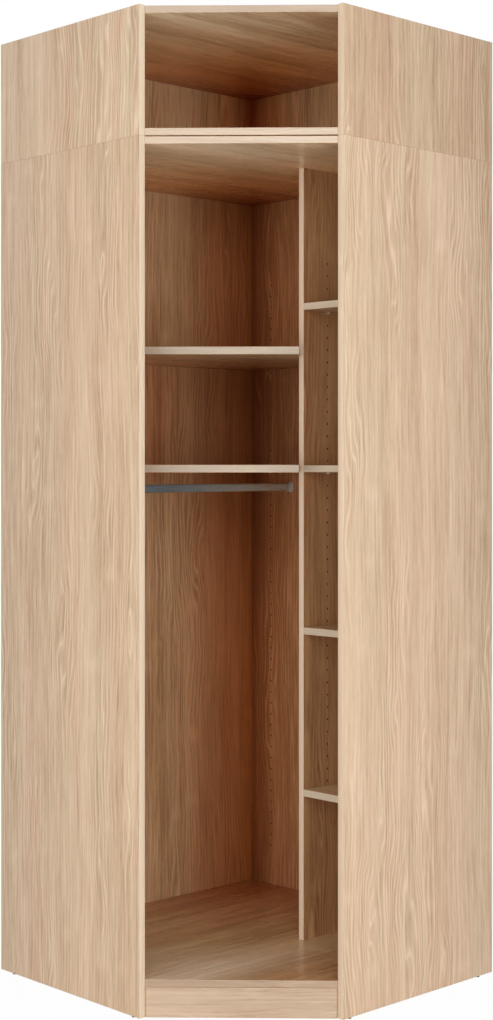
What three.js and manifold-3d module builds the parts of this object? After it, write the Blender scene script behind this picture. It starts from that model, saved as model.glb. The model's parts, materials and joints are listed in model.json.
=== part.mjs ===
// Corner wardrobe without doors: a tall lower carcase with a low top box stacked on it.
// Millimetres, +Z up. Everything is laid out in the room corner's own frame: x runs from the rear
// corner along the left wall, y along the right wall. The last lines turn that frame by an eighth of
// a turn, so that the diagonal opening faces -Y, with the origin on the floor in the middle.

import * as THREE from 'three';
import { mergeVertices } from 'three/addons/utils/BufferGeometryUtils.js';
import Module from 'manifold-3d';

const wasm = await Module();
wasm.setup();

// Overall sizes
const wall_length = 900;
const side_depth = 560;
const lower_height = 2090;
const upper_height = 310;
const glide_height = 4;

// Boards
const panel = 17;
const back_board = 12;
const corner_shelf_board = 19;
const bay_shelf_board = 18;
const edge_round = 0.6;
const seat = 0.3;
const end_inset = 1.5;

// Plinth and floor
const plinth_height = 72;
const plinth_proud = 2;
const plinth_gap = 1;
const bearer_width = 16;
const bearer_gap = 6;

// Right bay
const bay_width = 300;
const divider_depth = 360;
const shelf_play = 0.8;

// Corner shelves: how far their front edge lies behind the outer front corners
const corner_shelf_setback = 230;
const fixed_shelf_height = 1586;

// Rows of shelf-pin holes
const hole_spacing = 32;
const hole_radius = 2.5;
const hole_depth = 8;
const hole_sides = 6;
const bay_row_start = 456;
const corner_row_start = 200;
const row_top_margin = 230;
const row_front_inset = 88;
const row_rear_inset = 70;
const corner_row_inset = 81;

// Loose shelves: the bay's lowest one stands on the lowest holes, with the same number of holes between
// each two, as a share of the row. The corner one is counted down from the fixed shelf.
const bay_shelf_count = 4;
const bay_shelf_gap_share = 0.3;
const corner_shelf_gap = 290;

// Shelf pins
const pin_stud_radius = 2.1;
const pin_stud_length = 7;
const pin_peg_length = 8;
const pin_sides = 8;
const pin_rise = 3;

// Hanging rail and its open sockets
const rail_height = 22;
const rail_width = 11;
const rail_wall = 1.2;
const rail_from_wall = 162;
const rail_under_shelf = 34;
const rail_play = 0.3;
const rail_end_play = 1;
const socket_plate = 2;
const socket_margin = 4;
const socket_wall = 1.6;
const socket_reach = 14;

// Dowels and screws
const fastener_sides = 6;
const bore_play = 0.3;
const panel_dowel_radius = 4;
const panel_dowel_reach = 12;
const back_dowel_radius = 3;
const back_dowel_reach = 8;
const dowel_end_inset = 60;
const divider_dowel_inset = 200;
const stack_dowel_length = 30;
const stack_dowel_sides = 12;
const stack_dowel_inset = 110;
const screw_radius = 1.9;
const screw_head_radius = 3.8;
const screw_head_height = 2.4;
const screw_length = 11;
const screw_sides = 8;
const screw_level_share = 0.24;
const block_size = 20;
const block_end_inset = 60;

// Glides
const glide_radius = 5.8;
const glide_nail_radius = 1.1;
const glide_nail_length = 14;
const glide_sides = 12;
const glide_front_inset = 30;
const glide_rear_inset = 50;
const overrun = 1;

// Levels, counted from the room's floor
const base_z = glide_height;
const stack_z = base_z + lower_height;
const total_z = stack_z + upper_height;
const floor_z = base_z + plinth_height;
const floor_top_z = floor_z + panel;
const lower_top_z = stack_z - end_inset - panel;
const upper_floor_z = stack_z + end_inset;
const upper_floor_top_z = upper_floor_z + panel;
const upper_top_z = total_z - end_inset - panel;
const fixed_shelf_z = base_z + fixed_shelf_height;

// The levels of a row of holes, from its start up to the margin below the top.
function row_levels(start) {
  const count = Math.floor((lower_top_z - row_top_margin - start) / hole_spacing) + 1;
  return Array.from({ length: count }, (_, k) => start + k * hole_spacing);
}

const bay_holes = row_levels(base_z + bay_row_start);
const corner_holes = row_levels(base_z + corner_row_start);
const bay_shelf_gap_steps = Math.floor(bay_holes.length * bay_shelf_gap_share);
const bay_shelf_levels = Array.from({ length: bay_shelf_count }, (_, k) => bay_holes[k * bay_shelf_gap_steps]);
const corner_pin_z = corner_holes.filter((z) => z < fixed_shelf_z - corner_shelf_gap).pop();
const corner_shelf_z = corner_pin_z + pin_rise;

// Plan lines
const side_inner = wall_length - panel;
const front_sum = side_inner + side_depth;
const divider_right = side_inner - bay_width;
const divider_left = divider_right - panel;
const divider_front = back_board + divider_depth;
const bay_front_row = divider_front - row_front_inset;
const bay_rear_row = back_board + row_rear_inset;
const corner_rear_row = back_board + corner_row_inset;
const side_front_row = 2 * corner_rear_row;

// Finishes
const oak = { color: 0xd9bfa2, roughness: 0.55, metalness: 0 };
const steel = { color: 0x8b9294, roughness: 0.35, metalness: 0.9 };
const zinc = { color: 0xb4b6b6, roughness: 0.4, metalness: 0.9 };
const beech = { color: 0xcfa877, roughness: 0.7, metalness: 0 };
const black_plastic = { color: 0x1c1c1c, roughness: 0.5, metalness: 0 };

// Solids

// A closed solid from a geometry, with its shared corners joined.
function solid(geometry) {
  const bare = geometry.clone();
  bare.deleteAttribute('normal');
  bare.deleteAttribute('uv');
  const merged = mergeVertices(bare);
  return new wasm.Manifold(new wasm.Mesh({
    numProp: 3,
    vertProperties: merged.attributes.position.array,
    triVerts: Uint32Array.from(merged.index.array),
  }));
}

// A flat-shaded geometry from a closed solid.
function geometry_of(body) {
  const mesh = body.getMesh();
  const geometry = new THREE.BufferGeometry();
  geometry.setAttribute('position', new THREE.BufferAttribute(mesh.vertProperties, 3));
  geometry.setIndex(new THREE.BufferAttribute(mesh.triVerts, 1));
  const flat = geometry.toNonIndexed();
  flat.computeVertexNormals();
  return flat;
}

function cut(geometry, tools) {
  return geometry_of(tools.reduce((body, tool) => body.subtract(solid(tool)), solid(geometry)));
}

function join(pieces) {
  return geometry_of(pieces.slice(1).reduce((body, piece) => body.add(solid(piece)), solid(pieces[0])));
}

// An outline in the plane across a board, drawn out through its thickness with eased edges.
function eased_plate(points, thickness) {
  return new THREE.ExtrudeGeometry(new THREE.Shape(points.map(([x, y]) => new THREE.Vector2(x, y))), {
    depth: thickness - 2 * edge_round,
    bevelEnabled: true,
    bevelThickness: edge_round,
    bevelSize: edge_round,
    bevelOffset: -edge_round,
    bevelSegments: 1,
  }).translate(0, 0, edge_round);
}

// A lying board with the given plan outline.
function slab(points, z, thickness) {
  return eased_plate(points, thickness).translate(0, 0, z);
}

function rectangle([a, b], [c, d]) {
  return [[a, c], [b, c], [b, d], [a, d]];
}

// Boards that stand square to x or to y: the outline's axes turn into the board's own.
const stand_across_x = new THREE.Matrix4().set(0, 0, 1, 0, 1, 0, 0, 0, 0, 1, 0, 0, 0, 0, 0, 1);
const stand_across_y = new THREE.Matrix4().set(0, 1, 0, 0, 0, 0, 1, 0, 1, 0, 0, 0, 0, 0, 0, 1);

function board_across_x([x0, x1], y, z) {
  return eased_plate(rectangle(y, z), x1 - x0).applyMatrix4(stand_across_x).translate(x0, 0, 0);
}

function board_across_y(x, [y0, y1], z) {
  return eased_plate(rectangle(z, x), y1 - y0).applyMatrix4(stand_across_y).translate(0, y0, 0);
}

// A round bar from a start point along an axis, given as a unit vector.
function bar(start, axis, length, radius, sides) {
  const direction = new THREE.Vector3(...axis);
  return new THREE.CylinderGeometry(radius, radius, length, sides)
    .translate(0, length / 2, 0)
    .applyQuaternion(new THREE.Quaternion().setFromUnitVectors(up_y, direction))
    .translate(...start);
}

// A turned piece: pairs of radius and distance along the axis, from the start point.
function turned(profile, start, axis, sides) {
  const direction = new THREE.Vector3(...axis);
  return new THREE.LatheGeometry(profile.map(([r, l]) => new THREE.Vector2(r, l)), sides)
    .rotateY(Math.PI / sides)
    .applyQuaternion(new THREE.Quaternion().setFromUnitVectors(up_y, direction))
    .translate(...start);
}

const up_y = new THREE.Vector3(0, 1, 0);
const along = { x: [1, 0, 0], y: [0, 1, 0], z: [0, 0, 1] };
const against = { x: [-1, 0, 0], y: [0, -1, 0], z: [0, 0, -1] };

function shifted(start, axis, distance) {
  return start.map((value, k) => value + axis[k] * distance);
}

// Evenly spaced places between two ends.
function spread(low, high, count) {
  return Array.from({ length: count }, (_, k) => low + (high - low) * k / (count - 1));
}

// The mirror of a plan place in the diagonal of the wardrobe.
const mirrored = ([x, y, z]) => [y, x, z];

// Shelf-pin holes and pins

function hole(mouth, inward) {
  return bar(shifted(mouth, inward, -overrun), inward, hole_depth + overrun, hole_radius, hole_sides);
}

function hole_row(levels, place, inward) {
  return levels.map((z) => hole([...place, z], inward));
}

// A pin stands in a hole and reaches out of it against the hole's direction.
function pin(mouth, inward) {
  const peg_radius = (pin_rise - seat) / Math.cos(Math.PI / pin_sides);
  const profile = [
    [0, -pin_stud_length],
    [pin_stud_radius, -pin_stud_length],
    [pin_stud_radius, seat],
    [peg_radius, seat],
    [peg_radius, pin_peg_length],
    [0, pin_peg_length],
  ];
  return turned(profile, mouth, inward.map((value) => -value), pin_sides);
}

// Dowels: each is glued into its own board, and stands in a bore of the next one. A dowel is the
// place on the other board's face, the way into that board, its radius and its reach.

function panel_dowel(place, way) {
  return { place, way, radius: panel_dowel_radius, reach: panel_dowel_reach };
}

function back_dowel(place, way) {
  return { place, way, radius: back_dowel_radius, reach: back_dowel_reach };
}

function dowelled(geometry, dowels) {
  return join([geometry, ...dowels.map(({ place, way, radius, reach }) =>
    bar(shifted(place, way, -panel), way, panel + reach, radius, fastener_sides))]);
}

function dowel_bores(dowels) {
  return dowels.map(({ place, way, radius, reach }) =>
    bar(shifted(place, way, -overrun), way, overrun + reach + bore_play, radius + bore_play, fastener_sides));
}

// The dowels round the edges of a lying board: along each row of places, into the board beside it.
function edge_dowels(z, side_places, back_places, mirrored_back_places = back_places) {
  return {
    left_side: side_places.map((y) => panel_dowel([side_inner, y, z], along.x)),
    right_side: side_places.map((x) => panel_dowel([x, side_inner, z], along.y)),
    left_back: back_places.map((x) => back_dowel([x, back_board, z], against.y)),
    right_back: mirrored_back_places.map((y) => back_dowel([back_board, y, z], against.x)),
  };
}

const all_of = (dowels) => Object.values(dowels).flat();
const carcase_side_places = [back_board + dowel_end_inset, side_depth - dowel_end_inset];
const carcase_back_places = [back_board + dowel_end_inset, side_inner - dowel_end_inset];
const carcase_dowels = (z) => edge_dowels(z + panel / 2, carcase_side_places, carcase_back_places);
const floor_dowels = carcase_dowels(floor_z);
const lower_top_dowels = carcase_dowels(lower_top_z);
const upper_floor_dowels = carcase_dowels(upper_floor_z);
const upper_top_dowels = carcase_dowels(upper_top_z);

// Where the corner shelves' front line crosses a given x.
function front_line_at(x) {
  return wall_length + side_depth - Math.SQRT2 * corner_shelf_setback - x;
}

const fixed_shelf_middle = fixed_shelf_z + corner_shelf_board / 2;
const fixed_shelf_dowels = {
  ...edge_dowels(fixed_shelf_middle, [back_board + dowel_end_inset, front_line_at(side_inner) - dowel_end_inset],
    carcase_back_places, [back_board + dowel_end_inset, divider_left - dowel_end_inset]),
  right_side: [],
  divider: [back_board + dowel_end_inset, divider_front - dowel_end_inset]
    .map((x) => panel_dowel([x, divider_left, fixed_shelf_middle], along.y)),
};

const divider_middle = divider_left + panel / 2;
const divider_end_places = [back_board + dowel_end_inset, divider_front - dowel_end_inset];
const divider_dowels = {
  floor: divider_end_places.map((x) => panel_dowel([x, divider_middle, floor_top_z], against.z)),
  top: divider_end_places.map((x) => panel_dowel([x, divider_middle, lower_top_z], along.z)),
  right_back: spread(floor_top_z + divider_dowel_inset, lower_top_z - divider_dowel_inset, 3)
    .map((z) => back_dowel([back_board, divider_middle, z], against.x)),
};

// The back boards' dowels run into the side panels and, at the rear corner, into each other.
function back_board_dowels(low, high, count) {
  const levels = spread(low + dowel_end_inset, high - dowel_end_inset, count);
  return {
    corner: levels.map((z) => back_dowel([back_board, back_board / 2, z], against.x)),
    left_side: levels.map((z) => back_dowel([side_inner, back_board / 2, z], along.x)),
    right_side: levels.map((z) => back_dowel([back_board / 2, side_inner, z], along.y)),
  };
}

const lower_back_dowels = back_board_dowels(floor_top_z, lower_top_z, 4);
const upper_back_dowels = back_board_dowels(upper_floor_top_z, upper_top_z, 2);

// Loose dowels that keep the top box in line on the lower carcase
const stack_places = [stack_dowel_inset, side_depth - stack_dowel_inset]
  .map((y) => [side_inner + panel / 2, y, stack_z]);
const stack_sides = { left: stack_places, right: stack_places.map(mirrored) };

function stack_dowel([x, y, z]) {
  return bar([x, y, z - stack_dowel_length / 2], along.z, stack_dowel_length, panel_dowel_radius, stack_dowel_sides);
}

function stack_bore([x, y, z]) {
  const reach = stack_dowel_length / 2 + bore_play;
  return bar([x, y, z - reach], along.z, 2 * reach, panel_dowel_radius + bore_play, stack_dowel_sides);
}

// Countersunk screws

function screw(place, inward) {
  const profile = [
    [0, seat],
    [screw_head_radius, seat],
    [screw_radius, screw_head_height],
    [screw_radius, screw_length],
    [0, screw_length],
  ];
  return turned(profile, place, inward, screw_sides);
}

function screw_bore(place, inward) {
  const profile = [
    [0, -overrun],
    [screw_head_radius + bore_play, -overrun],
    [screw_head_radius + bore_play, seat],
    [screw_radius + bore_play, screw_head_height + bore_play],
    [screw_radius + bore_play, screw_length + bore_play],
    [0, screw_length + bore_play],
  ];
  return turned(profile, place, inward, screw_sides);
}

// Glides

const glide_places = {
  left_side: [[side_inner + panel / 2, glide_rear_inset], [side_inner + panel / 2, side_depth - glide_front_inset]],
  right_side: [[glide_rear_inset, side_inner + panel / 2], [side_depth - glide_front_inset, side_inner + panel / 2]],
  right_back: [[back_board / 2, back_board / 2]],
};

function glide([x, y]) {
  const profile = [
    [0, 0],
    [glide_radius - 2 * edge_round, 0],
    [glide_radius, 2 * edge_round],
    [glide_radius, glide_height - seat],
    [glide_nail_radius, glide_height - seat],
    [glide_nail_radius, glide_height + glide_nail_length],
    [0, glide_height + glide_nail_length],
  ];
  return turned(profile, [x, y, 0], along.z, glide_sides);
}

function nail_bore([x, y]) {
  return bar([x, y, base_z - overrun], along.z, glide_nail_length + overrun + bore_play,
    glide_nail_radius + bore_play, fastener_sides);
}

// Lower carcase

const upright_z = [base_z, stack_z];
const inside_z = [floor_top_z + seat, lower_top_z - seat];
const back_z = [base_z, stack_z - end_inset];

function lower_left_side() {
  return cut(board_across_x([side_inner, wall_length], [0, side_depth], upright_z), [
    ...hole_row(corner_holes, [side_inner, corner_rear_row], along.x),
    ...hole_row(corner_holes, [side_inner, side_front_row], along.x),
    ...dowel_bores([...floor_dowels.left_side, ...lower_top_dowels.left_side, ...fixed_shelf_dowels.left_side]),
    ...dowel_bores(lower_back_dowels.left_side),
    ...stack_sides.left.map(stack_bore),
    ...glide_places.left_side.map(nail_bore),
    ...socket_screw_places.left.map((place) => screw_bore(place, along.x)),
  ]);
}

function lower_right_side() {
  return cut(board_across_y([0, side_depth], [side_inner, wall_length], upright_z), [
    ...hole_row(bay_holes, [bay_rear_row, side_inner], along.y),
    ...hole_row(bay_holes, [bay_front_row, side_inner], along.y),
    ...dowel_bores([...floor_dowels.right_side, ...lower_top_dowels.right_side]),
    ...dowel_bores(lower_back_dowels.right_side),
    ...stack_sides.right.map(stack_bore),
    ...glide_places.right_side.map(nail_bore),
  ]);
}

function lower_left_back() {
  const board = board_across_y([back_board + seat, side_inner - seat], [0, back_board], back_z);
  return cut(dowelled(board, [...lower_back_dowels.corner, ...lower_back_dowels.left_side]),
    dowel_bores([...floor_dowels.left_back, ...lower_top_dowels.left_back, ...fixed_shelf_dowels.left_back]));
}

function lower_right_back() {
  const board = board_across_x([0, back_board], [0, side_inner - seat], back_z);
  return cut(dowelled(board, lower_back_dowels.right_side), [
    ...hole_row(corner_holes, [back_board, corner_rear_row], against.x),
    ...dowel_bores([...floor_dowels.right_back, ...lower_top_dowels.right_back]),
    ...dowel_bores([...fixed_shelf_dowels.right_back, ...divider_dowels.right_back]),
    ...dowel_bores(lower_back_dowels.corner),
    ...glide_places.right_back.map(nail_bore),
    ...socket_screw_places.right.map((place) => screw_bore(place, against.x)),
  ]);
}

// The five-sided outline of the floors and tops: square at the back, cut off along the opening.
function carcase_outline() {
  const near = back_board + seat;
  const far = side_inner - seat;
  const front = front_sum - far;
  return [[near, near], [far, near], [far, front], [front, far], [near, far]];
}

function carcase_board(z, dowels) {
  return dowelled(slab(carcase_outline(), z, panel), all_of(dowels));
}

function lower_floor() {
  return cut(carcase_board(floor_z, floor_dowels), dowel_bores(divider_dowels.floor));
}

function lower_top() {
  return cut(carcase_board(lower_top_z, lower_top_dowels), dowel_bores(divider_dowels.top));
}

// The divider's front row of holes goes right through, so that it serves both of its sides.
function divider() {
  const board = board_across_y([back_board + seat, divider_front], [divider_left, divider_right], inside_z);
  return cut(dowelled(board, all_of(divider_dowels)), [
    ...hole_row(bay_holes, [bay_rear_row, divider_right], against.y),
    ...bay_holes.map((z) => bar([bay_front_row, divider_left - overrun, z], along.y, panel + 2 * overrun,
      hole_radius, hole_sides)),
    ...dowel_bores(fixed_shelf_dowels.divider),
  ]);
}

// The corner shelves' outline: square at the back, a front edge parallel to the opening, and a
// short return edge from its right end straight back to the divider's front edge.
function corner_shelf_outline(play) {
  const near = back_board + play;
  const far = side_inner - play;
  const divider_side = divider_left - play;
  const across = divider_side - divider_front;
  const sum = far + front_line_at(far);
  return [
    [near, near],
    [far, near],
    [far, front_line_at(far)],
    [(sum - across) / 2, (sum + across) / 2],
    [divider_front, divider_side],
    [near, divider_side],
  ];
}

function fixed_corner_shelf() {
  return dowelled(slab(corner_shelf_outline(seat), fixed_shelf_z, corner_shelf_board), all_of(fixed_shelf_dowels));
}

function bay_shelf(level) {
  const outline = rectangle([back_board + shelf_play, divider_front],
    [divider_right + shelf_play, side_inner - shelf_play]);
  return slab(outline, level + pin_rise, bay_shelf_board);
}

// A plan line parallel to the opening is a line of constant x + y.
function plinth() {
  const far = side_inner - plinth_gap;
  const front = front_sum + Math.SQRT2 * plinth_proud;
  const rear = front - Math.SQRT2 * panel;
  const outline = [[far, front - far], [front - far, far], [rear - far, far], [far, rear - far]];
  return slab(outline, base_z, plinth_height - seat);
}

// The bearer runs on the diagonal from behind the plinth to near the rear corner.
function floor_bearer() {
  const half = bearer_width / 2 / Math.SQRT2;
  const front = (front_sum + Math.SQRT2 * (plinth_proud - panel - bearer_gap)) / 2;
  const rear = back_board + half + bearer_gap;
  const outline = [
    [rear - half, rear + half],
    [rear + half, rear - half],
    [front + half, front - half],
    [front - half, front + half],
  ];
  return slab(outline, base_z, plinth_height - seat);
}

// A small block in the corner between the plinth's rear face and the floor's underside.
function plinth_block(way) {
  const rear = (front_sum + Math.SQRT2 * (plinth_proud - panel - seat)) / 2;
  const half = block_size / 2;
  const reach = (side_inner - side_depth) / Math.SQRT2 - block_end_inset;
  return new THREE.BoxGeometry(block_size, block_size, block_size)
    .translate(0, way * reach / 2, 0)
    .rotateZ(Math.PI / 4)
    .translate(rear - half / Math.SQRT2, rear - half / Math.SQRT2, floor_z - seat - half);
}

// Pins under the loose shelves

function bay_pins(z) {
  return {
    rear_left: pin([bay_rear_row, divider_right, z], against.y),
    front_left: pin([bay_front_row, divider_right, z], against.y),
    rear_right: pin([bay_rear_row, side_inner, z], along.y),
    front_right: pin([bay_front_row, side_inner, z], along.y),
  };
}

const corner_pins = {
  side_rear: pin([side_inner, corner_rear_row, corner_pin_z], along.x),
  side_front: pin([side_inner, side_front_row, corner_pin_z], along.x),
  back: pin([back_board, corner_rear_row, corner_pin_z], against.x),
  divider: pin([bay_front_row, divider_left, corner_pin_z], along.y),
};

// Hanging rail

const rail_y = back_board + rail_from_wall;
const rail_top = corner_shelf_z - rail_under_shelf;
const rail_middle = rail_top - rail_height / 2;

// A flat oval standing on its narrow end, as a closed path of two arcs and two straights.
function oval(path, width, height, centre_z) {
  const radius = width / 2;
  const rise = height / 2 - radius;
  path.absarc(0, centre_z + rise, radius, 0, Math.PI, false);
  path.absarc(0, centre_z - rise, radius, Math.PI, 2 * Math.PI, false);
  path.closePath();
  return path;
}

// Draws a section that lies in the plane across the rail out along x.
function along_rail(shape, [x0, x1]) {
  return new THREE.ExtrudeGeometry(shape, { depth: x1 - x0, bevelEnabled: false, curveSegments: 6 })
    .applyMatrix4(stand_across_x)
    .translate(x0, rail_y, 0);
}

const rail_ends = [back_board + socket_plate + rail_end_play, side_inner - socket_plate - rail_end_play];

function hanging_rail() {
  const shape = oval(new THREE.Shape(), rail_width, rail_height, rail_middle);
  shape.holes.push(oval(new THREE.Path(), rail_width - 2 * rail_wall, rail_height - 2 * rail_wall, rail_middle));
  return along_rail(shape, rail_ends);
}

// An open socket: an oval plate on the board and a cup round the rail's end, open at the top.
function rail_socket(x, way, screw_places) {
  const out = (from, to) => [x + way * from, x + way * to].sort((a, b) => a - b);
  const inner_width = rail_width + 2 * rail_play;
  const inner_height = rail_height + 2 * rail_play;
  const plate = along_rail(oval(new THREE.Shape(), rail_width + 2 * socket_margin,
    rail_height + 2 * socket_margin, rail_middle), out(seat, socket_plate));
  const cup = along_rail(oval(new THREE.Shape(), inner_width + 2 * socket_wall,
    inner_height + 2 * socket_wall, rail_middle), out(socket_plate - seat, socket_reach));
  const bore = along_rail(oval(new THREE.Shape(), inner_width, inner_height, rail_middle),
    out(socket_plate, socket_reach + overrun));
  const mouth_height = rail_height + socket_wall + overrun;
  const mouth_x = out(socket_plate, socket_reach + overrun);
  const mouth = new THREE.BoxGeometry(mouth_x[1] - mouth_x[0], inner_width, mouth_height)
    .translate((mouth_x[0] + mouth_x[1]) / 2, rail_y, rail_middle + mouth_height / 2);
  return cut(join([plate, cut(cup, [bore, mouth])]), screw_places.map((place) => screw_bore(place, [-way, 0, 0])));
}

const socket_screw_levels = [-1, 1].map((way) => rail_middle + way * screw_level_share * rail_height);
const socket_screw_places = {
  left: socket_screw_levels.map((z) => [side_inner - socket_plate, rail_y, z]),
  right: socket_screw_levels.map((z) => [back_board + socket_plate, rail_y, z]),
};

// Top box

const upper_upright_z = [stack_z + seat, total_z];

function upper_left_side() {
  return cut(board_across_x([side_inner, wall_length], [0, side_depth], upper_upright_z), [
    ...dowel_bores([...upper_floor_dowels.left_side, ...upper_top_dowels.left_side]),
    ...dowel_bores(upper_back_dowels.left_side),
    ...stack_sides.left.map(stack_bore),
  ]);
}

function upper_right_side() {
  return cut(board_across_y([0, side_depth], [side_inner, wall_length], upper_upright_z), [
    ...dowel_bores([...upper_floor_dowels.right_side, ...upper_top_dowels.right_side]),
    ...dowel_bores(upper_back_dowels.right_side),
    ...stack_sides.right.map(stack_bore),
  ]);
}

const upper_back_z = [stack_z + end_inset, total_z - end_inset];

function upper_left_back() {
  const board = board_across_y([back_board + seat, side_inner - seat], [0, back_board], upper_back_z);
  return cut(dowelled(board, [...upper_back_dowels.corner, ...upper_back_dowels.left_side]),
    dowel_bores([...upper_floor_dowels.left_back, ...upper_top_dowels.left_back]));
}

function upper_right_back() {
  const board = board_across_x([0, back_board], [0, side_inner - seat], upper_back_z);
  return cut(dowelled(board, upper_back_dowels.right_side), dowel_bores([
    ...upper_floor_dowels.right_back, ...upper_top_dowels.right_back, ...upper_back_dowels.corner,
  ]));
}

// The wardrobe

const wardrobe = new THREE.Group();

function add(name, finish, geometry) {
  const mesh = new THREE.Mesh(geometry, new THREE.MeshStandardMaterial(finish));
  mesh.name = name;
  wardrobe.add(mesh);
}

// Adds each piece of a set under the set's name and its own.
function add_set(name, finish, pieces) {
  Object.entries(pieces).forEach(([place, geometry]) => add(`${name}_${place}`, finish, geometry));
}

add('lower_left_side', oak, lower_left_side());
add('lower_right_side', oak, lower_right_side());
add('lower_left_back', oak, lower_left_back());
add('lower_right_back', oak, lower_right_back());
add('lower_floor', oak, lower_floor());
add('lower_top', oak, lower_top());
add('divider', oak, divider());
add('plinth', oak, plinth());
add('floor_bearer', oak, floor_bearer());
add('plinth_block_left', black_plastic, plinth_block(-1));
add('plinth_block_right', black_plastic, plinth_block(1));
add('fixed_corner_shelf', oak, fixed_corner_shelf());
add('loose_corner_shelf', oak, slab(corner_shelf_outline(shelf_play), corner_shelf_z, corner_shelf_board));
add_set('corner_pin', zinc, corner_pins);
bay_shelf_levels.forEach((level, k) => {
  add(`bay_shelf_${k + 1}`, oak, bay_shelf(level));
  add_set(`bay_pin_${k + 1}`, zinc, bay_pins(level));
});
add('hanging_rail', steel, hanging_rail());
add('rail_socket_left', zinc, rail_socket(side_inner, -1, socket_screw_places.left));
add('rail_socket_right', zinc, rail_socket(back_board, 1, socket_screw_places.right));
add_set('socket_screw_left', zinc, socket_screw_places.left.map((place) => screw(place, along.x)));
add_set('socket_screw_right', zinc, socket_screw_places.right.map((place) => screw(place, against.x)));
Object.entries(glide_places).forEach(([board, places]) => add_set(`glide_${board}`, black_plastic, places.map(glide)));
add('upper_left_side', oak, upper_left_side());
add('upper_right_side', oak, upper_right_side());
add('upper_left_back', oak, upper_left_back());
add('upper_right_back', oak, upper_right_back());
add('upper_floor', oak, carcase_board(upper_floor_z, upper_floor_dowels));
add('upper_top', oak, carcase_board(upper_top_z, upper_top_dowels));
add_set('stack_dowel_left', beech, stack_sides.left.map(stack_dowel));
add_set('stack_dowel_right', beech, stack_sides.right.map(stack_dowel));

// Turned so that the opening faces -Y, with the rear corner half the plan's depth behind the origin
wardrobe.rotation.z = 5 * Math.PI / 4;
wardrobe.position.y = (wall_length + side_depth) / Math.SQRT2 / 2;
wardrobe.updateMatrixWorld(true);

export default wardrobe;
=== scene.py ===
"""Corner wardrobe in pale oak-print board: finishes, finer hardware, studio and camera."""

import functools
import json
import math

import bmesh
import bpy
import numpy as np
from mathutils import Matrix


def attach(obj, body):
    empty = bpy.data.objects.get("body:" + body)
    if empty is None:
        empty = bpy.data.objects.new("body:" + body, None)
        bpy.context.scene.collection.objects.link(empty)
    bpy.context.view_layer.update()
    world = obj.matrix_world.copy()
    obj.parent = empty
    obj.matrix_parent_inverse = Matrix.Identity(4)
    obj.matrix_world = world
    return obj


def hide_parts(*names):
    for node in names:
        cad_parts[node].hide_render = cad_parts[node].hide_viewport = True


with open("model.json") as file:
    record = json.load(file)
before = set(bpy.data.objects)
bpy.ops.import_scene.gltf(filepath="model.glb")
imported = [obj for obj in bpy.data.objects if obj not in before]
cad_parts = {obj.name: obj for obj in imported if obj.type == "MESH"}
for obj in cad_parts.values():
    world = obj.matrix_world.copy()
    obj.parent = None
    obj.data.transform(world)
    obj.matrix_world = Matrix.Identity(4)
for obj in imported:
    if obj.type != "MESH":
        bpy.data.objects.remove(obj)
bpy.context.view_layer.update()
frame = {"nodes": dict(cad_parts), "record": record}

# The room corner's own frame, as the boards are laid out in it: x runs along the left wall, y along
# the right wall, both from the rear corner. It is turned from the wardrobe's frame by this angle.
CORNER_TURN = 5 * math.pi / 4
WALL_LENGTH = 0.900
SIDE_DEPTH = 0.560
REAR_CORNER_Y = (WALL_LENGTH + SIDE_DEPTH) / math.sqrt(2) / 2
DIAGONAL_SHARE = math.sqrt(0.5)

# The boards' faces that bound the inside, in the corner's frame
INNER_FACE = 0.883
BACK_FACE = 0.012
FRONT_SUM = 1.443
INSIDE_MARGIN = 0.0008

# Standing boards: their ranges, and the columns of holes in them. The ends of the outer ones are
# trimmed, so that their corners, finer than the CAD's, stay inside the CAD's box.
SEAT = 0.0003
EDGE_RADIUS = 0.0004
END_TRIM = 0.00035
SIDE_ENDS = (END_TRIM, SIDE_DEPTH - END_TRIM)
STANDING = (0.004, 2.094)
UPPER_STANDING = (2.0943, 2.404)
BACK_STANDING = (0.004, 2.0925)
DIVIDER_STANDING = (0.0933, 2.0752)
DIVIDER_LEFT = 0.566
DIVIDER_RIGHT = 0.583
DIVIDER_FRONT = 0.372
HOLE_SPACING = 0.032
HOLE_RADIUS = 0.0025
HOLE_DEPTH = 0.008
HOLE_SIDES = 16
HOLE_CELL = 0.008
BAY_ROW_START = 0.460
BAY_ROW_COUNT = 44
CORNER_ROW_START = 0.204
CORNER_ROW_COUNT = 52
BAY_REAR_ROW = 0.082
BAY_FRONT_ROW = 0.284
CORNER_REAR_ROW = 0.093
CORNER_FRONT_ROW = 0.186
CORNER_PIN_LEVEL = 1.292

# Hardware: sizes, and turned profiles of radius and distance
RAIL_Y = 0.174
RAIL_MIDDLE = 1.250
RAIL_RADIUS = 0.0055
RAIL_RISE = 0.0055
RAIL_WALL = 0.0012
RAIL_EASE = 0.0003
RAIL_ENDS = (0.015, 0.880)
PAINTED_LIGHT_REACH = 0.55
PLATE_MARGIN = 0.004
PLATE_THICKNESS = 0.002
CUP_RADIUS = 0.0074
CUP_WALL = 0.0016
CUP_ARM = 0.0040
CUP_REACH = 0.014
HARDWARE_ROUND = 0.0004
SCREW_RISE = 0.00528
GLIDE_REAR = 0.050
GLIDE_FRONT = 0.530
PIN_PROFILE = ((0.0014, -0.0070), (0.0021, -0.0063), (0.0021, 0.0003), (0.0027, 0.0003), (0.0027, 0.0013),
               (0.0024, 0.0016), (0.0024, 0.0021), (0.0027, 0.0024), (0.0027, 0.0073), (0.0024, 0.0078),
               (0.0018, 0.0080))
SCREW_PROFILE = ((0.0034, 0.0003), (0.0038, 0.0006), (0.0019, 0.0024), (0.0019, 0.0095), (0.0004, 0.0110))
GLIDE_PROFILE = ((0.0046, 0.0), (0.0053, 0.0002), (0.0057, 0.0006), (0.0058, 0.0012), (0.0058, 0.0034),
                 (0.0055, 0.0037), (0.0011, 0.0037), (0.0011, 0.0170), (0.0004, 0.0180))
PIN_STEPS = 13
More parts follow.
